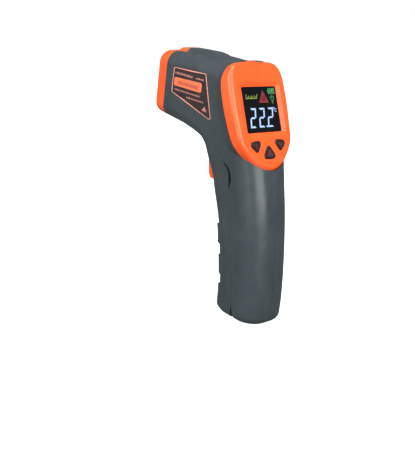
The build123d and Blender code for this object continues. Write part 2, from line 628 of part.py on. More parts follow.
# Behind the pin and below its top the door keeps inside the knuckles' sweep, to clear the housing.
past_hinge = block((-BEYOND, BEYOND), (-98, DOOR_HINGE[0]), (-130, DOOR_HINGE[1] + 2.8))
battery_door -= past_hinge - cross_pin(KNUCKLE_SWEEP, DOOR_HINGE, -BEYOND, BEYOND)
door_pin = cross_pin(HINGE_PIN_RADIUS, DOOR_HINGE, -HINGE_PIN_HALF, HINGE_PIN_HALF)

# ---------------------------------------------------------------- batteries
print("batteries")
CELL_RADIUS = 5.25
CELL_LENGTH = 44.5
CELL_X = 5.5
TRAY_HALF_LENGTH = 26.0
TRAY_WIDTH = 22.8
TRAY_DEPTH = 12.0
tray = Box(TRAY_WIDTH, TRAY_DEPTH, 2 * TRAY_HALF_LENGTH)
for x in (-CELL_X, CELL_X):
    channel = Cylinder(CELL_RADIUS + 0.2, 2 * TRAY_HALF_LENGTH - 2.6)
    channel += Pos(0, 5, 0) * Box(2 * CELL_RADIUS - 1.2, 10, 2 * TRAY_HALF_LENGTH - 2.6)
    tray -= Pos(x, 0, 0) * channel
battery_tray = in_grip(tray)
cell = Cylinder(CELL_RADIUS, CELL_LENGTH - 1.0) + Pos(0, 0, CELL_LENGTH / 2) * Cylinder(1.9, 1.0)
battery_left = in_grip(Pos(-CELL_X, 0, 0) * cell)
battery_right = in_grip(Pos(CELL_X, 0, 0) * Rot(180, 0, 0) * cell)


def cone_spring(x, end):
    """A battery contact spring between a cell's flat end and the tray's end wall."""
    depth = TRAY_HALF_LENGTH - 1.3 - (CELL_LENGTH - 1.0) / 2 - 0.2
    path = Helix(pitch=depth / 3.0, height=depth - 0.7, radius=3.0, cone_angle=-14)
    profile = Plane(origin=path @ 0, z_dir=path % 0) * Circle(0.3)
    spring = Pos(0, 0, 0.35) * sweep(profile, path=path, is_frenet=True)
    turn = Rot(0, 0, 0) if end < 0 else Rot(180, 0, 0)
    return Pos(x, 0, end * (TRAY_HALF_LENGTH - 1.3)) * turn * spring


def contact_plate(x, end):
    """A battery contact plate with a raised centre."""
    plate = Box(7.4, 7.4, 0.4)
    button = Pos(0, 0, -end * 0.9) * Cylinder(2.0, 1.5)
    return Pos(x, 0, end * (TRAY_HALF_LENGTH - 1.55)) * (plate + button)


battery_springs = in_grip(group(cone_spring(-CELL_X, -1), cone_spring(CELL_X, 1)))
battery_contacts = in_grip(group(contact_plate(-CELL_X, 1), contact_plate(CELL_X, -1)))


def wire_run(points, radius):
    """A round wire along a smooth route."""
    route = Spline(*points)
    return sweep(Plane(origin=route @ 0, z_dir=route % 0) * Circle(radius), path=route)


battery_wire_red = wire_run([(-4.5, -73.0, -57.0), (-8.5, -76.0, -50.0), (-9.5, -77.5, -40.0),
                             (-8.0, -75.5, -31.0), (-6.5, -72.6, -24.0)], 0.6)
battery_wire_black = wire_run([(4.5, -73.0, -57.0), (8.5, -76.0, -50.0), (9.5, -77.5, -40.0),
                               (8.0, -75.5, -31.0), (6.5, -72.6, -24.0)], 0.6)
sensor_cable = wire_run([(0, -38.8, 3.0), (3.0, -44.0, 6.0), (6.0, -52.0, 8.5),
                         (4.5, -58.0, 8.0), (2.0, -62.0, 6.0)], 0.9)
laser_wires = wire_run([(0, -28.4, LASER_Z), (-3.0, -36.0, 15.0), (-6.0, -46.0, 13.0),
                        (-2.0, -54.0, 12.5), (2.5, -59.5, 12.0)], 0.7)

# ---------------------------------------------------------------- screws and labels
print("screws and labels")
housing_screws = []
for y, z in SCREW_POINTS:
    screw = cross_pin(SCREW_SHAFT, (y, z), -8.8, 7.6)
    screw += cross_pin(SCREW_HEAD, (y, z), 7.02, 8.8)
    screw -= block((8.1, 9), (y - 1.5, y + 1.5), (z - 0.3, z + 0.3))
    screw -= block((8.1, 9), (y - 0.3, y + 0.3), (z - 1.5, z + 1.5))
    housing_screws.append(screw)
housing_screws = group(*housing_screws)

LABEL = [(-17.9, 16.1), (-47.9, 17.3), (-56.5, -8.6), (-17.5, 0.9)]
LABEL_CORNER = 1.4
LABEL_THICK = 0.25


def label(side):
    """A thin printed plate in a shallow recess on the barrel's side."""
    face = make_face(Polyline(*[(0, y, z) for y, z in LABEL], close=True))
    face = fillet(face.vertices(), LABEL_CORNER)
    blank = Pos(10 * side, 0, 0) * extrude(face, 20, dir=(side, 0, 0))
    skin = body_outer - body(LABEL_THICK)
    return blank & skin


left_label = label(-1)
right_label = label(1)
left_housing -= left_label
right_housing -= right_label

# ---------------------------------------------------------------- write every node
NODES = {
    "left_housing": left_housing,
    "right_housing": right_housing,
    "nozzle": nozzle,
    "laser_cap": laser_cap,
    "display_bezel": display_bezel,
    "display_window": display_window,
    "lcd_panel": lcd_panel,
    "backlight": backlight,
    "lcd_frame": lcd_frame,
    "contact_strips": contact_strips,
    "main_board": main_board,
    "board_screws": board_screws,
    "board_chips": board_chips,
    "key_switches": key_switches,
    "buzzer": buzzer,
    "lens_retainer": lens_retainer,
    "infrared_lens": infrared_lens,
    "lens_seal": lens_seal,
    "sensor_tube": sensor_tube,
    "thermopile": thermopile,
    "sensor_board": sensor_board,
    "sensor_chip": sensor_chip,
    "laser_window": laser_window,
    "laser_module": laser_module,
    "laser_board": laser_board,
    "laser_holder": laser_holder,
    "laser_screws": laser_screws,
    "trigger": trigger,
    "trigger_pin": trigger_pin,
    "trigger_spring": trigger_spring,
    "trigger_switch": trigger_switch,
    "switch_bracket": switch_bracket,
    "battery_door": battery_door,
    "door_pin": door_pin,
    "battery_tray": battery_tray,
    "battery_left": battery_left,
    "battery_right": battery_right,
    "battery_springs": battery_springs,
    "battery_contacts": battery_contacts,
    "battery_wire_red": battery_wire_red,
    "battery_wire_black": battery_wire_black,
    "sensor_cable": sensor_cable,
    "laser_wires": laser_wires,
    "housing_screws": housing_screws,
    "left_label": left_label,
    "right_label": right_label,
}
for name, spec in KEYS.items():
    NODES[name] = full_key(spec)
for name, shape in NODES.items():
    write(name, shape)
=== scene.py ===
import json
import math

import bmesh
import bpy
from mathutils import Matrix, Vector
from mathutils.bvhtree import BVHTree


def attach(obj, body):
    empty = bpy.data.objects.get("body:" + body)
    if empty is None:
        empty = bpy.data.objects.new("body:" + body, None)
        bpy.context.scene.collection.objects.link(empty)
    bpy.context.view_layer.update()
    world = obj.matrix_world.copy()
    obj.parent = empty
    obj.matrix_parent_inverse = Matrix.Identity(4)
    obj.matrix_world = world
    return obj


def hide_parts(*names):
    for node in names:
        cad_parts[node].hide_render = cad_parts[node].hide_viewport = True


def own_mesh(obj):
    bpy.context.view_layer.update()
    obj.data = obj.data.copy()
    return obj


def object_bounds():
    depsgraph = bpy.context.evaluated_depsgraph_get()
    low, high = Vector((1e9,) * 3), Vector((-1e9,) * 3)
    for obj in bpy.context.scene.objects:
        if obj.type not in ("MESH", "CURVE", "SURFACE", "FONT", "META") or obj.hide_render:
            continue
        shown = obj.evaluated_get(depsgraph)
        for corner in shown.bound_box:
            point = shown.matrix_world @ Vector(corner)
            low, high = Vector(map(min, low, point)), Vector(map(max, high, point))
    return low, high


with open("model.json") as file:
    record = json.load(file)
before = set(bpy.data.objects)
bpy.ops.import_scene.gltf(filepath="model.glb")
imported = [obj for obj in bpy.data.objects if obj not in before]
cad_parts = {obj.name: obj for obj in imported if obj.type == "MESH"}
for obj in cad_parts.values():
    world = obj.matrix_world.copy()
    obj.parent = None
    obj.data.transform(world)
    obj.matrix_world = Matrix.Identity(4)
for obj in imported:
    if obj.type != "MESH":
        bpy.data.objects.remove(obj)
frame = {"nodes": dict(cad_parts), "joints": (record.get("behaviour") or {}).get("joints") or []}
cad_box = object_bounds()
NODES = frame["nodes"]
MM = 0.001

# ------------------------------------------------------------------ places taken from the frame
BOX_LOW, BOX_HIGH = cad_box
MIDDLE = Vector([(a + b) / 2 for a, b in zip(BOX_LOW, BOX_HIGH)])
key_joint = next(joint for joint in frame["joints"] if joint["name"] == "centre_key_press")

# The display face's own axes: ACROSS to the right, UP the face, OUT towards the user.
OUT = -Vector(key_joint["axis"]).normalized()
ACROSS = Vector((1, 0, 0))
UP = OUT.cross(ACROSS).normalized()


def span_along(node, direction):
    """The lowest and highest reach of a node along a direction, in metres."""
    reach = [vertex.co.dot(direction) for vertex in NODES[node].data.vertices]
    return min(reach), max(reach)


window_up = span_along("display_window", UP)
DISPLAY = UP * (sum(window_up) / 2) + OUT * span_along("display_window", OUT)[1]


def height_over(node):
    """The greatest height of a node over the window's face."""
    return span_along(node, OUT)[1] - DISPLAY.dot(OUT)


def on_face(u, v, height):
    """A point from millimetres across and up the display face."""
    return DISPLAY + ACROSS * (u * MM) + UP * (v * MM) + OUT * height


# ------------------------------------------------------------------ material helpers
class Maker:
    """A small builder for one node material."""

    def __init__(self, name, colour, roughness, metallic=0.0):
        self.material = bpy.data.materials.new(name)
        self.material.use_nodes = True
        self.nodes = self.material.node_tree.nodes
        self.links = self.material.node_tree.links
        self.shader = self.nodes["Principled BSDF"]
        self.shader.inputs["Base Color"].default_value = (*colour, 1)
        self.shader.inputs["Roughness"].default_value = roughness
        self.shader.inputs["Metallic"].default_value = metallic
        self.place = self.add("ShaderNodeTexCoord").outputs["Object"]

    def add(self, kind, **settings):
        node = self.nodes.new(kind)
        for key, value in settings.items():
            setattr(node, key, value)
        return node

    def link(self, source, target):
        self.links.new(source, target)

    def noise(self, size, detail=3.0, stretch=(1, 1, 1)):
        """Noise whose features are about size metres across."""
        mapping = self.add("ShaderNodeMapping")
        mapping.inputs["Scale"].default_value = stretch
        self.link(self.place, mapping.inputs["Vector"])
        node = self.add("ShaderNodeTexNoise")
        node.inputs["Scale"].default_value = 1 / size
        node.inputs["Detail"].default_value = detail
        self.link(mapping.outputs["Vector"], node.inputs["Vector"])
        return node.outputs["Fac"]

    def span(self, value, start, end, low, high):
        """Map a value from one range to another, clamped."""
        node = self.add("ShaderNodeMapRange")
        node.inputs["From Min"].default_value = start
        node.inputs["From Max"].default_value = end
        node.inputs["To Min"].default_value = low
        node.inputs["To Max"].default_value = high
        self.link(value, node.inputs["Value"])
        return node.outputs["Result"]

    def multiply(self, first, second):
        node = self.add("ShaderNodeMath", operation="MULTIPLY")
        self.link(first, node.inputs[0])
        self.link(second, node.inputs[1])
        return node.outputs["Value"]

    def mix(self, factor, first, second):
        """Blend two colours; each is a socket or an (r, g, b)."""
        node = self.add("ShaderNodeMix", data_type="RGBA")
        self.link(factor, node.inputs["Factor"])
        for value, socket in ((first, node.inputs[6]), (second, node.inputs[7])):
            if isinstance(value, tuple):
                socket.default_value = (*value, 1)
            else:
                self.link(value, socket)
        return node.outputs[2]

    def edges(self, radius):
        """A mask that is 1 on sharp outer edges."""
        bevel = self.add("ShaderNodeBevel", samples=4)
        bevel.inputs["Radius"].default_value = radius
        geometry = self.add("ShaderNodeNewGeometry")
        dot = self.add("ShaderNodeVectorMath", operation="DOT_PRODUCT")
        self.link(bevel.outputs["Normal"], dot.inputs[0])
        self.link(geometry.outputs["Normal"], dot.inputs[1])
        return self.span(dot.outputs["Value"], 0.995, 0.90, 0.0, 1.0)

    def bump(self, heights, edge_radius=None):
        """Stack (height socket, distance in metres) bumps, over a softened edge if asked."""
        normal = None
        if edge_radius:
            bevel = self.add("ShaderNodeBevel", samples=4)
            bevel.inputs["Radius"].default_value = edge_radius
            normal = bevel.outputs["Normal"]
        for height, distance in heights:
            node = self.add("ShaderNodeBump")
            node.inputs["Distance"].default_value = distance
            self.link(height, node.inputs["Height"])
            if normal is not None:
                self.link(normal, node.inputs["Normal"])
            normal = node.outputs["Normal"]
        self.link(normal, self.shader.inputs["Normal"])

    def colour(self, socket):
        self.link(socket, self.shader.inputs["Base Color"])

    def roughness(self, socket):
        self.link(socket, self.shader.inputs["Roughness"])

    def set(self, **values):
        for key, value in values.items():
            self.shader.inputs[key.replace("_", " ")].default_value = value


def moulded_plastic(name, dark, light, worn, rough, grain, wear=0.5):
    """Moulded plastic: mottled colour, fine spark-eroded grain, lighter rubbed edges."""
    maker = Maker(name, dark, rough)
    mottle = maker.span(maker.noise(size=0.012, detail=4.0), 0.35, 0.65, 0.0, 1.0)
    base = maker.mix(mottle, dark, light)
    rub = maker.span(maker.noise(size=0.004, detail=5.0), 0.42, 0.60, 0.0, wear)
    worn_edges = maker.multiply(maker.edges(0.0004), rub)
    maker.colour(maker.mix(worn_edges, base, worn))
    fine = maker.noise(size=0.00035, detail=2.0)
    cloud = maker.noise(size=0.005, detail=4.0)
    maker.roughness(maker.span(cloud, 0.3, 0.7, rough - 0.05, rough + 0.06))
    maker.bump([(fine, grain), (cloud, grain * 1.5)], edge_radius=0.00025)
    return maker.material


def metal(name, colour, rough, brushed=(1, 1, 1), size=0.0004):
    """Turned, plated or brushed metal with fine scratches."""
    maker = Maker(name, colour, rough, metallic=1.0)
    scratches = maker.noise(size, detail=3.0, stretch=brushed)
    tarnish = maker.span(maker.noise(size=0.003, detail=4.0), 0.35, 0.65, 0.0, 1.0)
    darker = tuple(channel * 0.72 for channel in colour)
    maker.colour(maker.mix(tarnish, colour, darker))
    maker.roughness(maker.span(scratches, 0.3, 0.7, rough - 0.08, rough + 0.10))
    maker.bump([(scratches, 0.00001)], edge_radius=0.0001)
    return maker.material


def soft_rubber(name, dark, light, rough=0.62):
    """Silicone or insulation: matt, slightly dusty."""
    maker = Maker(name, dark, rough)
    dust = maker.span(maker.noise(size=0.002, detail=5.0), 0.40, 0.70, 0.0, 1.0)
    maker.colour(maker.mix(dust, dark, light))
    fine = maker.noise(size=0.00025, detail=2.0)
    maker.roughness(maker.span(fine, 0.3, 0.7, rough - 0.08, rough + 0.10))
    maker.bump([(fine, 0.00001)], edge_radius=0.0002)
    return maker.material


def glossy_film(name, dark, light, rough, coat, specular=0.5):
    """Hard glossy plastic or film with faint smears."""
    maker = Maker(name, dark, rough)
    smears = maker.noise(size=0.006, detail=5.0, stretch=(1, 1, 2.5))
    smear = maker.span(smears, 0.35, 0.70, 0.0, 1.0)
    maker.colour(maker.mix(smear, dark, light))
    maker.roughness(maker.span(smear, 0.0, 1.0, rough, rough + 0.10))
    maker.bump([(maker.noise(size=0.008, detail=2.0), 0.000008)])
    maker.set(Coat_Weight=coat, Coat_Roughness=0.06, Specular_IOR_Level=specular)
    return maker.material


def glowing(name, colour, strength, dark):
    """A lit display segment, a little uneven across its area."""
    maker = Maker(name, dark, 0.35)
    uneven = maker.span(maker.noise(size=0.0015, detail=3.0), 0.3, 0.7, 0.0, 1.0)
    dim = tuple(channel * 0.82 for channel in colour)
    lit = maker.mix(uneven, colour, dim)
    maker.colour(lit)
    maker.link(lit, maker.shader.inputs["Emission Color"])
    maker.set(Emission_Strength=strength)
    return maker.material


def printed(name, ink, faded, rough=0.4):
    """Printed ink with slight unevenness."""
    maker = Maker(name, ink, rough)
    patch = maker.span(maker.noise(size=0.0012, detail=4.0), 0.40, 0.68, 0.0, 1.0)
    maker.colour(maker.mix(patch, ink, faded))
    maker.roughness(maker.span(patch, 0.0, 1.0, rough - 0.05, rough + 0.12))
    maker.bump([(maker.noise(size=0.0003, detail=2.0), 0.000005)])
    return maker.material


GREY = moulded_plastic("grey_body", (0.033, 0.043, 0.049), (0.040, 0.051, 0.058),
                       (0.16, 0.180, 0.195), 0.33, 0.000010, 0.40)
ORANGE = moulded_plastic("orange_body", (0.88, 0.090, 0.014), (0.94, 0.101, 0.017),
                         (1.0, 0.27, 0.11), 0.34, 0.000006, 0.30)
KEY = glossy_film("key_rubber", (0.010, 0.006, 0.006), (0.020, 0.013, 0.013), 0.42, 0.0, 0.35)
WINDOW = glossy_film("window_glass", (0.003, 0.004, 0.005), (0.005, 0.006, 0.008),
                     0.08, 0.0, 0.16)
LABEL = glossy_film("label_film", (0.020, 0.013, 0.014), (0.032, 0.020, 0.021), 0.30, 0.1)
BLACK = moulded_plastic("black_nylon", (0.016, 0.016, 0.018), (0.026, 0.026, 0.028),
                        (0.09, 0.09, 0.09), 0.50, 0.00001)
WHITE = moulded_plastic("white_diffuser", (0.78, 0.80, 0.78), (0.86, 0.87, 0.85),
                        (0.95, 0.95, 0.95), 0.45, 0.000006)
BOARD = glossy_film("circuit_board", (0.010, 0.13, 0.050), (0.018, 0.18, 0.075), 0.30, 0.5)
CHIP = soft_rubber("chip_epoxy", (0.014, 0.014, 0.015), (0.035, 0.035, 0.036), 0.5)
STEEL = metal("zinc_steel", (0.62, 0.62, 0.60), 0.32)
NICKEL = metal("nickel_spring", (0.74, 0.71, 0.66), 0.22)
BRASS = metal("turned_brass", (0.83, 0.60, 0.26), 0.25, (1, 12, 1))
ANODISED = metal("black_anodised", (0.035, 0.035, 0.038), 0.38, (1, 8, 1))
LENS = glossy_film("infrared_lens", (0.62, 0.60, 0.54), (0.72, 0.70, 0.64), 0.22, 0.7)
SEAL = soft_rubber("seal_rubber", (0.012, 0.012, 0.012), (0.03, 0.03, 0.03))
WRAP = glossy_film("cell_wrap", (0.04, 0.06, 0.12), (0.07, 0.09, 0.16), 0.25, 0.5)
RED_WIRE = soft_rubber("red_insulation", (0.50, 0.015, 0.012), (0.62, 0.05, 0.04), 0.45)
BLACK_WIRE = soft_rubber("black_insulation", (0.012, 0.012, 0.012), (0.035, 0.035, 0.035), 0.45)

FINISH = {
    "left_housing": GREY, "right_housing": GREY, "battery_door": GREY,
    "nozzle": ORANGE, "laser_cap": ORANGE, "display_bezel": ORANGE, "trigger": ORANGE,
    "left_key": KEY, "centre_key": KEY, "right_key": KEY,
    "display_window": WINDOW, "laser_window": WINDOW, "lcd_panel": WINDOW,
    "backlight": WHITE, "lcd_frame": BLACK, "contact_strips": SEAL,
    "main_board": BOARD, "sensor_board": BOARD, "laser_board": BOARD,
    "board_chips": CHIP, "sensor_chip": CHIP, "buzzer": CHIP, "trigger_switch": CHIP,
    "key_switches": STEEL, "board_screws": STEEL, "laser_screws": STEEL, "housing_screws": STEEL,
    "trigger_pin": STEEL, "door_pin": STEEL,
    "trigger_spring": NICKEL, "battery_springs": NICKEL, "battery_contacts": NICKEL,
    "thermopile": NICKEL, "laser_module": BRASS, "laser_holder": BLACK,
    "lens_retainer": ANODISED, "sensor_tube": ANODISED, "infrared_lens": LENS,
    "lens_seal": SEAL, "switch_bracket": BLACK, "battery_tray": BLACK,
    "battery_left": WRAP, "battery_right": WRAP,
    "battery_wire_red": RED_WIRE, "battery_wire_black": BLACK_WIRE,
    "sensor_cable": BLACK_WIRE, "laser_wires": RED_WIRE,
    "left_label": LABEL, "right_label": LABEL,
}
for name, node in NODES.items():
    node.data.materials.clear()
    node.data.materials.append(FINISH[name])

# ------------------------------------------------------------------ flat printed and lit shapes


def solid_from_outlines(name, outlines, place, thickness, direction, material, body):
    """Thin plates from closed 2D outlines; place turns (u, v) into a point."""
    mesh = bpy.data.meshes.new(name)
    form = bmesh.new()
    for outline in outlines:
        bottom = [form.verts.new(place(u, v)) for u, v in outline]
        top = [form.verts.new(vertex.co + direction * thickness) for vertex in bottom]
        form.faces.new(top)
        form.faces.new(list(reversed(bottom)))
        for index in range(len(outline)):
            after = (index + 1) % len(outline)
            form.faces.new((bottom[index], bottom[after], top[after], top[index]))
    bmesh.ops.recalc_face_normals(form, faces=form.faces)
    form.to_mesh(mesh)
    form.free()
    piece = bpy.data.objects.new(name, mesh)
    bpy.context.scene.collection.objects.link(piece)
    mesh.materials.append(material)
    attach(piece, body)
    return piece


def ring_outlines(centre, outer, inner, count=20, start=0.0, end=360.0):
    """A ring or an arc as short four-sided outlines."""
    outlines = []
    for index in range(count):
        pair = [math.radians(start + (end - start) * step / count) for step in (index, index + 1)]
        points = [(radius, angle) for radius, angles in ((outer, pair), (inner, pair[::-1]))
                  for angle in angles]
        outlines.append([(centre[0] + r * math.cos(a), centre[1] + r * math.sin(a))
                         for r, a in points])
    return outlines


def stroke(start, end, width):
    """A straight stroke with square ends."""
    along = Vector((end[0] - start[0], end[1] - start[1])).normalized() * width / 2
    side = Vector((-along.y, along.x))
    first, last = Vector(start) - along, Vector(end) + along
    return [tuple(first + side), tuple(first - side), tuple(last - side), tuple(last + side)]


def slanted(outline, foot, slant):
    """Lean an outline to the right above foot."""
    return [(u + (v - foot) * slant, v) for u, v in outline]


# ------------------------------------------------------------------ lit display
# Drawn in millimetres from the window's upper left corner, right and down.
WINDOW_WIDTH, WINDOW_HEIGHT = 27.5, 26.2
GLASS = height_over("display_window")


def from_corner(x, down):
    return x - WINDOW_WIDTH / 2, WINDOW_HEIGHT / 2 - down


def on_glass(u, v):
    return on_face(u, v, GLASS)


LIT_BLUE = glowing("lit_pale_blue", (0.28, 0.40, 0.66), 0.62, (0.2, 0.25, 0.35))
LIT_GREEN = glowing("lit_green", (0.05, 0.25, 0.09), 0.50, (0.05, 0.2, 0.06))
LIT_LIME = glowing("lit_lime", (0.26, 0.34, 0.06), 0.45, (0.2, 0.25, 0.05))
LIT_RED = glowing("lit_red", (0.17, 0.016, 0.019), 0.40, (0.2, 0.01, 0.01))
UNLIT = glossy_film("unlit_glass", (0.006, 0.004, 0.004), (0.010, 0.007, 0.007), 0.2, 0.5)
FILM = 0.00004
SLANT = math.tan(math.radians(8))
DIGIT_WIDTH, DIGIT_TALL, DIGIT_THICK, DIGIT_GAP = 4.55, 11.1, 0.98, 0.12
DIGIT_LEFTS, DIGIT_FOOT = (3.1, 10.05, 17.0), 23.3
POINT_LEFT, POINT_WIDTH, POINT_TALL = 15.8, 1.1, 1.0


def digit_two(left, bottom):
    """The five lit segments of a 2, with mitred ends and fine gaps."""
    width, tall, thick, gap = DIGIT_WIDTH, DIGIT_TALL, DIGIT_THICK, DIGIT_GAP
    right, top, half = left + width, bottom + tall, bottom + tall / 2
    bar_top = [(left + gap, top), (right - gap, top), (right - thick - gap, top - thick),
               (left + thick + gap, top - thick)]
    right_bar = [(right, top - gap), (right, half + gap), (right - thick / 2, half + gap),
                 (right - thick, half + thick / 2 + gap), (right - thick, top - thick - gap)]
    middle = [(left + gap + thick / 2, half), (left + thick + gap, half + thick / 2),
              (right - thick - gap, half + thick / 2), (right - gap - thick / 2, half),
              (right - thick - gap, half - thick / 2), (left + thick + gap, half - thick / 2)]
    left_bar = [(left, bottom + gap), (left, half - gap), (left + thick / 2, half - gap),
                (left + thick, half - thick / 2 - gap), (left + thick, bottom + thick + gap)]
    bar_bottom = [(left + gap, bottom), (right - gap, bottom),
                  (right - thick - gap, bottom + thick), (left + thick + gap, bottom + thick)]
    shapes = (bar_top, right_bar, middle, left_bar, bar_bottom)
    return [slanted(shape, bottom, SLANT) for shape in shapes]


digits = []
for x in DIGIT_LEFTS:
    digits += digit_two(*from_corner(x, DIGIT_FOOT))
left, bottom = from_corner(POINT_LEFT, DIGIT_FOOT)
digits.append([(left, bottom), (left + POINT_WIDTH, bottom),
               (left + POINT_WIDTH, bottom + POINT_TALL), (left, bottom + POINT_TALL)])
# The degree sign and the unit letter.
digits += ring_outlines(from_corner(23.7, 12.6), 0.62, 0.34, 14)
digits += ring_outlines(from_corner(25.2, 13.8), 1.0, 0.68, 14, 50, 310)
solid_from_outlines("lit_digits", digits, on_glass, FILM, OUT, LIT_BLUE, "casing")

# A thin slanted scale with even ticks.
SCALE_WIDTH, SCALE_TALL, SCALE_SLANT, SCALE_STEPS = 8.6, 2.3, 0.25, 8
SCALE_LINE, TICK_LINE = 0.26, 0.24
LONG_TICK, SHORT_TICK = 0.75, 0.45
left, bottom = from_corner(2.6, 6.7)
right, top = left + SCALE_WIDTH, bottom + SCALE_TALL
scale = [stroke((left, bottom), (right, bottom), SCALE_LINE),
         stroke((left, bottom), (left, top), SCALE_LINE),
         stroke((right, bottom), (right, top), SCALE_LINE)]
for tick in range(1, SCALE_STEPS):
    x = left + SCALE_WIDTH * tick / SCALE_STEPS
    tall = SCALE_TALL * (LONG_TICK if tick % 2 == 0 else SHORT_TICK)
    scale.append(stroke((x, bottom), (x, bottom + tall), TICK_LINE))
scale = [slanted(shape, bottom, SCALE_SLANT) for shape in scale]
solid_from_outlines("lit_scale", scale, on_glass, FILM, OUT, LIT_LIME, "casing")

# A triangle with a plain ring and dot in it.
corners = [from_corner(12.6, 9.3), from_corner(20.6, 9.3), from_corner(16.6, 2.1)]
solid_from_outlines("lit_triangle", [corners], on_glass, FILM, OUT, LIT_RED, "casing")
u, v = from_corner(16.75, 6.8)
mark = ring_outlines((u, v), 1.55, 1.15, 18) + ring_outlines((u, v), 0.45, 0.0, 8)
solid_from_outlines("triangle_mark", mark, lambda a, b: on_face(a, b, GLASS + FILM),
                    FILM / 2, OUT, UNLIT, "casing")

# A battery with four bars, and a lamp with its rays.
CELL_LINE = 0.28
left, top = from_corner(21.2, 1.3)
right, bottom = from_corner(26.2, 4.3)
green = [stroke((left, top), (right, top), CELL_LINE),
         stroke((left, bottom), (right, bottom), CELL_LINE),
         stroke((right, bottom), (right, top), CELL_LINE),
         stroke((left, bottom), (left, top), CELL_LINE)]
green.append(stroke((left - 0.42, top - 1.0), (left - 0.42, bottom + 1.0), 0.34))
for index in range(4):
    x = left + 0.95 + index * 1.02
    green.append(stroke((x, bottom + 0.75), (x, top - 0.75), 0.62))
u, v = from_corner(23.6, 7.1)
green += ring_outlines((u, v), 1.2, 0.92, 16)
for level in (0, 1, 2):
    reach = 0.55 - 0.08 * level
    down = v - 1.55 - level * 0.5
    green.append(stroke((u - reach, down), (u + reach, down), 0.24))
for angle in (30, 60, 90, 120, 150):
    ray = Vector((math.cos(math.radians(angle)), math.sin(math.radians(angle))))
    centre = Vector((u, v))
    green.append(stroke(centre + ray * 1.6, centre + ray * 2.05, 0.22))
solid_from_outlines("lit_battery_and_lamp", green, on_glass, FILM, OUT, LIT_GREEN,
                    "casing")

# ------------------------------------------------------------------ key marks
KEY_INK = printed("key_ink", (0.22, 0.045, 0.035), (0.12, 0.03, 0.025))
KEY_TOP_DEPTH = 0.0004
KEY_PRINT = 0.00003
LETTER_LINE, TRIANGLE_LINE = 0.32, 0.34


def key_centre(node):
    """The middle of a key's top, in millimetres across and up the face, and its height."""
    top = height_over(node)
    tips = [vertex.co - DISPLAY for vertex in NODES[node].data.vertices
            if (vertex.co - DISPLAY).dot(OUT) > top - KEY_TOP_DEPTH]
    across = [tip.x for tip in tips]
    up = [tip.dot(UP) for tip in tips]
    return (max(across) + min(across)) / 2 / MM, (max(up) + min(up)) / 2 / MM, top


def degree_letter(u, v, bars):
    """A small degree ring and a letter's strokes."""
    outlines = ring_outlines((u - 1.35, v + 0.95), 0.5, 0.27, 10)
    return outlines + bars


MARKS = {}
u, v, top = key_centre("left_key")
arc = ring_outlines((u + 0.55, v), 1.15, 0.80, 14, 50, 310)
MARKS["left_key"] = (degree_letter(u, v, arc), top)
u, v, top = key_centre("right_key")
bars = [stroke((u - 0.2, v - 1.1), (u - 0.2, v + 1.1), LETTER_LINE),
        stroke((u - 0.2, v + 1.1), (u + 1.2, v + 1.1), LETTER_LINE),
        stroke((u - 0.2, v + 0.1), (u + 0.9, v + 0.1), LETTER_LINE)]
MARKS["right_key"] = (degree_letter(u, v, bars), top)
u, v, top = key_centre("centre_key")
apex, left_foot, right_foot = (u, v + 1.5), (u - 1.9, v - 1.6), (u + 1.9, v - 1.6)
sides = [stroke(apex, left_foot, TRIANGLE_LINE), stroke(left_foot, right_foot, TRIANGLE_LINE),
         stroke(right_foot, apex, TRIANGLE_LINE)]
MARKS["centre_key"] = (sides + ring_outlines((u, v - 0.6), 0.5, 0.22, 10), top)
for node, (outlines, top) in MARKS.items():
    solid_from_outlines(node + "_mark", outlines, lambda a, b, h=top: on_face(a, b, h),
                        KEY_PRINT, OUT, KEY_INK, node + "_body")

# ------------------------------------------------------------------ side labels
PINK_INK = printed("label_outline_ink", (0.86, 0.36, 0.26), (0.74, 0.29, 0.20))
BAND_INK = printed("label_band_ink", (0.90, 0.150, 0.060), (0.96, 0.20, 0.09))
BAND_DARK = printed("label_tick_ink", (0.28, 0.055, 0.030), (0.40, 0.09, 0.05))
DIM_INK = printed("label_dim_ink", (0.52, 0.200, 0.155), (0.36, 0.14, 0.11))
PRINT = 0.00003
PRINT_LIFT = 0.000005
# Places on the labels are (Y, Z) in millimetres.
LABEL_CORNERS = [(-17.9, 16.1), (-47.9, 17.3), (-56.5, -8.6), (-17.5, 0.9)]
# Y, then the low and high Z of the printed band.
BAND = [(-19.5, 6.1, 9.6), (-20.1, 5.4, 10.3), (-44.2, 5.5, 11.1), (-45.1, 6.3, 10.4)]
WARNING_MARK = [(-49.4, -1.4), (-47.4, -4.1), (-51.9, -4.5)]
LABEL_MIDDLE = Vector((sum(y for y, z in LABEL_CORNERS) / 4,
                       sum(z for y, z in LABEL_CORNERS) / 4))
LABEL_MARGIN, LABEL_ROUNDING, OUTLINE_WIDTH = 0.2, 1.3, 0.62
BAND_SLICES = 26
# Rows of dashes: start and end along the barrel, height, and how tall the dashes are.
DASH_ROWS = [(-19.8, -36.4, 13.0, 1.35), (-39.3, -46.3, 13.0, 1.1)]
SMALL_DASH_ROWS = [(-20.5, -44.8, 3.2, 0.9), (-32.3, -48.3, 0.5, 0.9)]
TICK_ROWS = [(-22.6, -42.6, 7.8, 2.2)]
DASH_LENGTHS, DASH_GAP = (0.9, 0.6, 1.2, 0.5, 0.8), 0.4


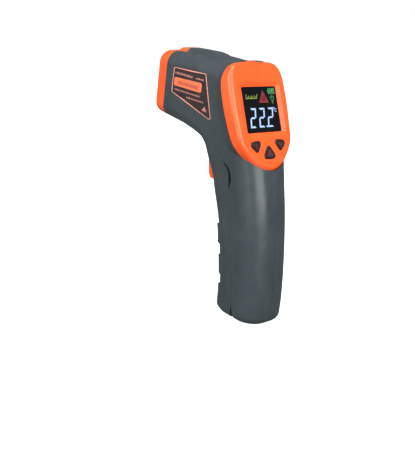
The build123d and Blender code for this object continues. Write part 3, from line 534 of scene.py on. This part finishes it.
def strips(profile, count):
    """Narrow upright slices of a shape given as (y, low, high), to follow a curved side."""
    def at(y):
        for first, last in zip(profile, profile[1:]):
            if last[0] <= y <= first[0]:
                part = (y - first[0]) / (last[0] - first[0])
                return [first[k] + (last[k] - first[k]) * part for k in (1, 2)]
        return profile[-1][1:]

    start, end = profile[0][0], profile[-1][0]
    levels = sorted({start + (end - start) * step / count for step in range(count + 1)}
                    | {point[0] for point in profile}, reverse=True)
    outlines = []
    for first, last in zip(levels, levels[1:]):
        (low_a, high_a), (low_b, high_b) = at(first), at(last)
        middles = [low_a + (high_a - low_a) * k / 3 for k in range(4)]
        others = [low_b + (high_b - low_b) * k / 3 for k in range(4)]
        for k in range(3):
            outlines.append([(first, middles[k]), (last, others[k]), (last, others[k + 1]),
                             (first, middles[k + 1])])
    return outlines


def dash_row(start, end, z, tall):
    """A row of plain dashes of uneven length between two places along the barrel."""
    outlines = []
    y, index = start, 0
    while y - DASH_LENGTHS[index % len(DASH_LENGTHS)] > end:
        reach = y - DASH_LENGTHS[index % len(DASH_LENGTHS)]
        low = z - tall / 2
        high = z + tall / 2 * (1.0 if index % 3 else 0.6)
        outlines.append([(y, low), (reach, low), (reach, high), (y, high)])
        y = reach - DASH_GAP
        index += 1
    return outlines


def all_rows(rows):
    """Every dash of several rows."""
    return [outline for row in rows for outline in dash_row(*row)]


def inward(point, amount):
    """A point moved towards the label's middle by an even margin."""
    direction = LABEL_MIDDLE - Vector(point)
    return tuple(Vector(point) + direction.normalized() * amount)


def inset_outline(corners, amount):
    """Move every side of a polygon inward by amount."""
    count = len(corners)
    centre = Vector((sum(c[0] for c in corners) / count, sum(c[1] for c in corners) / count))
    lines = []
    for index in range(count):
        a, b = Vector(corners[index]), Vector(corners[(index + 1) % count])
        along = (b - a).normalized()
        normal = Vector((-along.y, along.x))
        if normal.dot(centre - a) < 0:
            normal = -normal
        lines.append((a + normal * amount, along))
    result = []
    for index in range(count):
        (p, d), (q, e) = lines[index - 1], lines[index]
        cross = d.x * e.y - d.y * e.x
        step = ((q - p).x * e.y - (q - p).y * e.x) / cross
        result.append(tuple(p + d * step))
    return result


def rounded(corners, radius, steps=6):
    """Round a polygon's corners."""
    count = len(corners)
    result = []
    for index in range(count):
        before, here, after = (Vector(corners[(index + k) % count]) for k in (-1, 0, 1))
        to_before, to_after = (before - here).normalized(), (after - here).normalized()
        half_angle = to_before.angle(to_after) / 2
        reach = radius / math.tan(half_angle)
        start, end = here + to_before * reach, here + to_after * reach
        for step in range(steps + 1):
            t = step / steps
            point = start.lerp(here, t).lerp(here.lerp(end, t), t)
            result.append(tuple(point))
    return result


class SideSurface:
    """Finds the label's surface by looking across it, from well outside towards the middle."""

    OUTSIDE, NEARBY = 0.05, 0.018

    def __init__(self, node, side):
        mesh = NODES[node].data
        self.tree = BVHTree.FromPolygons([vertex.co for vertex in mesh.vertices],
                                         [tuple(face.vertices) for face in mesh.polygons])
        self.side = side

    def point(self, y, z):
        start = Vector((self.side * self.OUTSIDE, y * MM, z * MM))
        hit = self.tree.ray_cast(start, Vector((-self.side, 0, 0)))[0]
        if hit is None:
            hit = self.tree.find_nearest(Vector((self.side * self.NEARBY, y * MM, z * MM)))[0]
        return hit


def bands_from(outer, inner):
    """Four-sided outlines that fill the space between two matching loops."""
    count = len(outer)
    return [[outer[i], outer[(i + 1) % count], inner[(i + 1) % count], inner[i]]
            for i in range(count)]


def label_graphics(side):
    """The printed outline, the orange band and rows of plain dashes."""
    word = "left" if side < 0 else "right"
    surface = SideSurface(word + "_label", side)
    outward = Vector((side, 0, 0))

    def place(y, z):
        return surface.point(y, z) + outward * PRINT_LIFT

    def subdivided(loop, longest=1.5):
        result = []
        for index, here in enumerate(loop):
            after = loop[(index + 1) % len(loop)]
            here, after = Vector(here), Vector(after)
            steps = max(1, math.ceil((after - here).length / longest))
            result += [tuple(here.lerp(after, step / steps)) for step in range(steps)]
        return result

    def print_piece(part, outlines, ink):
        solid_from_outlines(f"{word}_label_{part}", outlines, place, PRINT, outward, ink,
                            "casing")

    outer = subdivided(rounded(inset_outline(LABEL_CORNERS, LABEL_MARGIN), LABEL_ROUNDING))
    inner = [inward(point, OUTLINE_WIDTH) for point in outer]
    print_piece("outline", bands_from(outer, inner), PINK_INK)
    print_piece("band", strips(BAND, BAND_SLICES), BAND_INK)
    print_piece("dashes", all_rows(DASH_ROWS), DIM_INK)
    print_piece("small_dashes", all_rows(SMALL_DASH_ROWS), DIM_INK)
    print_piece("mark", [WARNING_MARK], DIM_INK)
    solid_from_outlines(f"{word}_label_ticks", all_rows(TICK_ROWS),
                        lambda y, z: place(y, z) + outward * PRINT,
                        PRINT / 2, outward, BAND_DARK, "casing")


for side in (-1, 1):
    label_graphics(side)

# ------------------------------------------------------------------ trigger spring
# The same coil as the frame's, copied into a mesh of its own. The real coil shortens as the
# trigger's lever rises against it; nothing here makes this one shorten.
spring_mesh = NODES["trigger_spring"].data.copy()
spring_mesh.name = "return_spring"
return_spring = bpy.data.objects.new("return_spring", spring_mesh)
bpy.context.scene.collection.objects.link(return_spring)
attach(return_spring, "casing")
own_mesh(return_spring)
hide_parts("trigger_spring")

# ------------------------------------------------------------------ shade plates behind the notches
# Neither plate is in CAD; both are painted shade. A thin black plate in the middle plane stops the
# two fingernail notches, which go through the wall, from showing light, so they look shaded.
NOTCH_SHADE_OUTLINE = [(-81.0, -45.0), (-70.0, -45.0), (-62.0, -34.0), (-62.0, -27.0), (-74.0, -27.0),
            (-77.0, -33.0)]
SHADE_PLATE_HALF = 0.4
PLATE_THICKNESS = 2 * SHADE_PLATE_HALF * MM
solid_from_outlines("notch_shade_plate", [NOTCH_SHADE_OUTLINE], lambda y, z: Vector((-SHADE_PLATE_HALF * MM, y * MM, z * MM)),
                    PLATE_THICKNESS, ACROSS, BLACK, "casing")
# A black plate between the trigger's slot and the battery space: painted shade in the slot,
# for the same reason.
SLOT_SHADE_OUTLINE = [(-9.0, -51.0), (9.0, -51.0), (9.0, -31.0), (-9.0, -31.0)]
SLOT_SHADE_BACK = -63.4
solid_from_outlines("slot_shade_plate", [SLOT_SHADE_OUTLINE],
                    lambda x, z: Vector((x * MM, SLOT_SHADE_BACK * MM, z * MM)),
                    PLATE_THICKNESS, Vector((0, 1, 0)), BLACK, "casing")

# ------------------------------------------------------------------ floor, lights and camera
FLOOR_Z = BOX_LOW[2]
FLOOR_REACH = 3.0
FLOOR_GLOW = 0.80
FILL_LIGHT = 0.22


def white_stage():
    """A plain pale floor."""
    maker = Maker("pale_floor", (0.92, 0.92, 0.92), 0.75)
    patch = maker.span(maker.noise(size=0.15, detail=3.0), 0.3, 0.7, 0.0, 1.0)
    maker.colour(maker.mix(patch, (0.90, 0.90, 0.90), (0.94, 0.94, 0.94)))
    mesh = bpy.data.meshes.new("floor")
    corners = [(x * FLOOR_REACH, y * FLOOR_REACH, FLOOR_Z)
               for x, y in ((-1, -1), (1, -1), (1, 1), (-1, 1))]
    mesh.from_pydata(corners, [], [(0, 1, 2, 3)])
    maker.set(Emission_Color=(1, 1, 1, 1), Emission_Strength=FLOOR_GLOW)
    floor = bpy.data.objects.new("floor", mesh)
    floor.visible_diffuse = False
    floor.visible_glossy = False
    mesh.materials.append(maker.material)
    bpy.context.scene.collection.objects.link(floor)


white_stage()


def softbox(name, azimuth, elevation, distance, width, height, power):
    """An area light that faces the object from an azimuth about the vertical."""
    a, e = math.radians(azimuth), math.radians(elevation)
    direction = Vector((math.sin(a) * math.cos(e), -math.cos(a) * math.cos(e), math.sin(e)))
    lamp = bpy.data.lights.new(name, "AREA")
    lamp.shape = "RECTANGLE"
    lamp.size, lamp.size_y = width, height
    lamp.energy = power
    holder = bpy.data.objects.new(name, lamp)
    holder.location = MIDDLE + direction * distance
    holder.rotation_euler = direction.to_track_quat("Z", "Y").to_euler()
    bpy.context.scene.collection.objects.link(holder)


# Azimuth and elevation in degrees, then distance, width and height in metres, and power in watts.
SOFTBOXES = {
    "right_softbox": (-10, 24, 0.9, 0.66, 0.66, 8.5),
    "strip_softbox": (-72, 24, 0.9, 0.10, 0.66, 3.6),
    "left_softbox": (-112, 22, 0.9, 0.24, 0.66, 5),
    "top_softbox": (-46, 75, 1.0, 0.8, 0.8, 9),
}
for name, settings in SOFTBOXES.items():
    softbox(name, *settings)


def studio_world():
    """White where the camera sees it, and a dim even fill as light."""
    world = bpy.data.worlds.new("studio")
    world.use_nodes = True
    nodes, links = world.node_tree.nodes, world.node_tree.links
    background = nodes["Background"]
    background.inputs["Color"].default_value = (1, 1, 1, 1)
    path = nodes.new("ShaderNodeLightPath")
    span = nodes.new("ShaderNodeMapRange")
    span.inputs["To Min"].default_value = FILL_LIGHT
    span.inputs["To Max"].default_value = 1.0
    links.new(path.outputs["Is Camera Ray"], span.inputs["Value"])
    links.new(span.outputs["Result"], background.inputs["Strength"])
    bpy.context.scene.world = world


studio_world()
bpy.context.scene.view_settings.view_transform = "Standard"

# The point near the display that the camera was fitted about, the camera's place from there, and
# the way it looks.
FITTED_ABOUT = Vector((0, -0.078, 0.0025))
CAMERA_PLACE = Vector((-0.3126, -0.2952, 0.0747))
LOOK_AZIMUTH, LOOK_ELEVATION, LOOK_ROLL = -43.59, 19.25, 6.92
SENSOR = 36.0
LENS_LENGTH = 59.77
lens = bpy.data.cameras.new("camera")
lens.sensor_width = SENSOR
lens.lens = LENS_LENGTH
camera = bpy.data.objects.new("camera", lens)
turn = (Matrix.Rotation(math.radians(LOOK_AZIMUTH), 4, "Z")
        @ Matrix.Rotation(math.radians(90 - LOOK_ELEVATION), 4, "X")
        @ Matrix.Rotation(math.radians(LOOK_ROLL), 4, "Z"))
camera.matrix_world = Matrix.Translation(FITTED_ABOUT + CAMERA_PLACE) @ turn
bpy.context.scene.collection.objects.link(camera)
bpy.context.scene.camera = camera
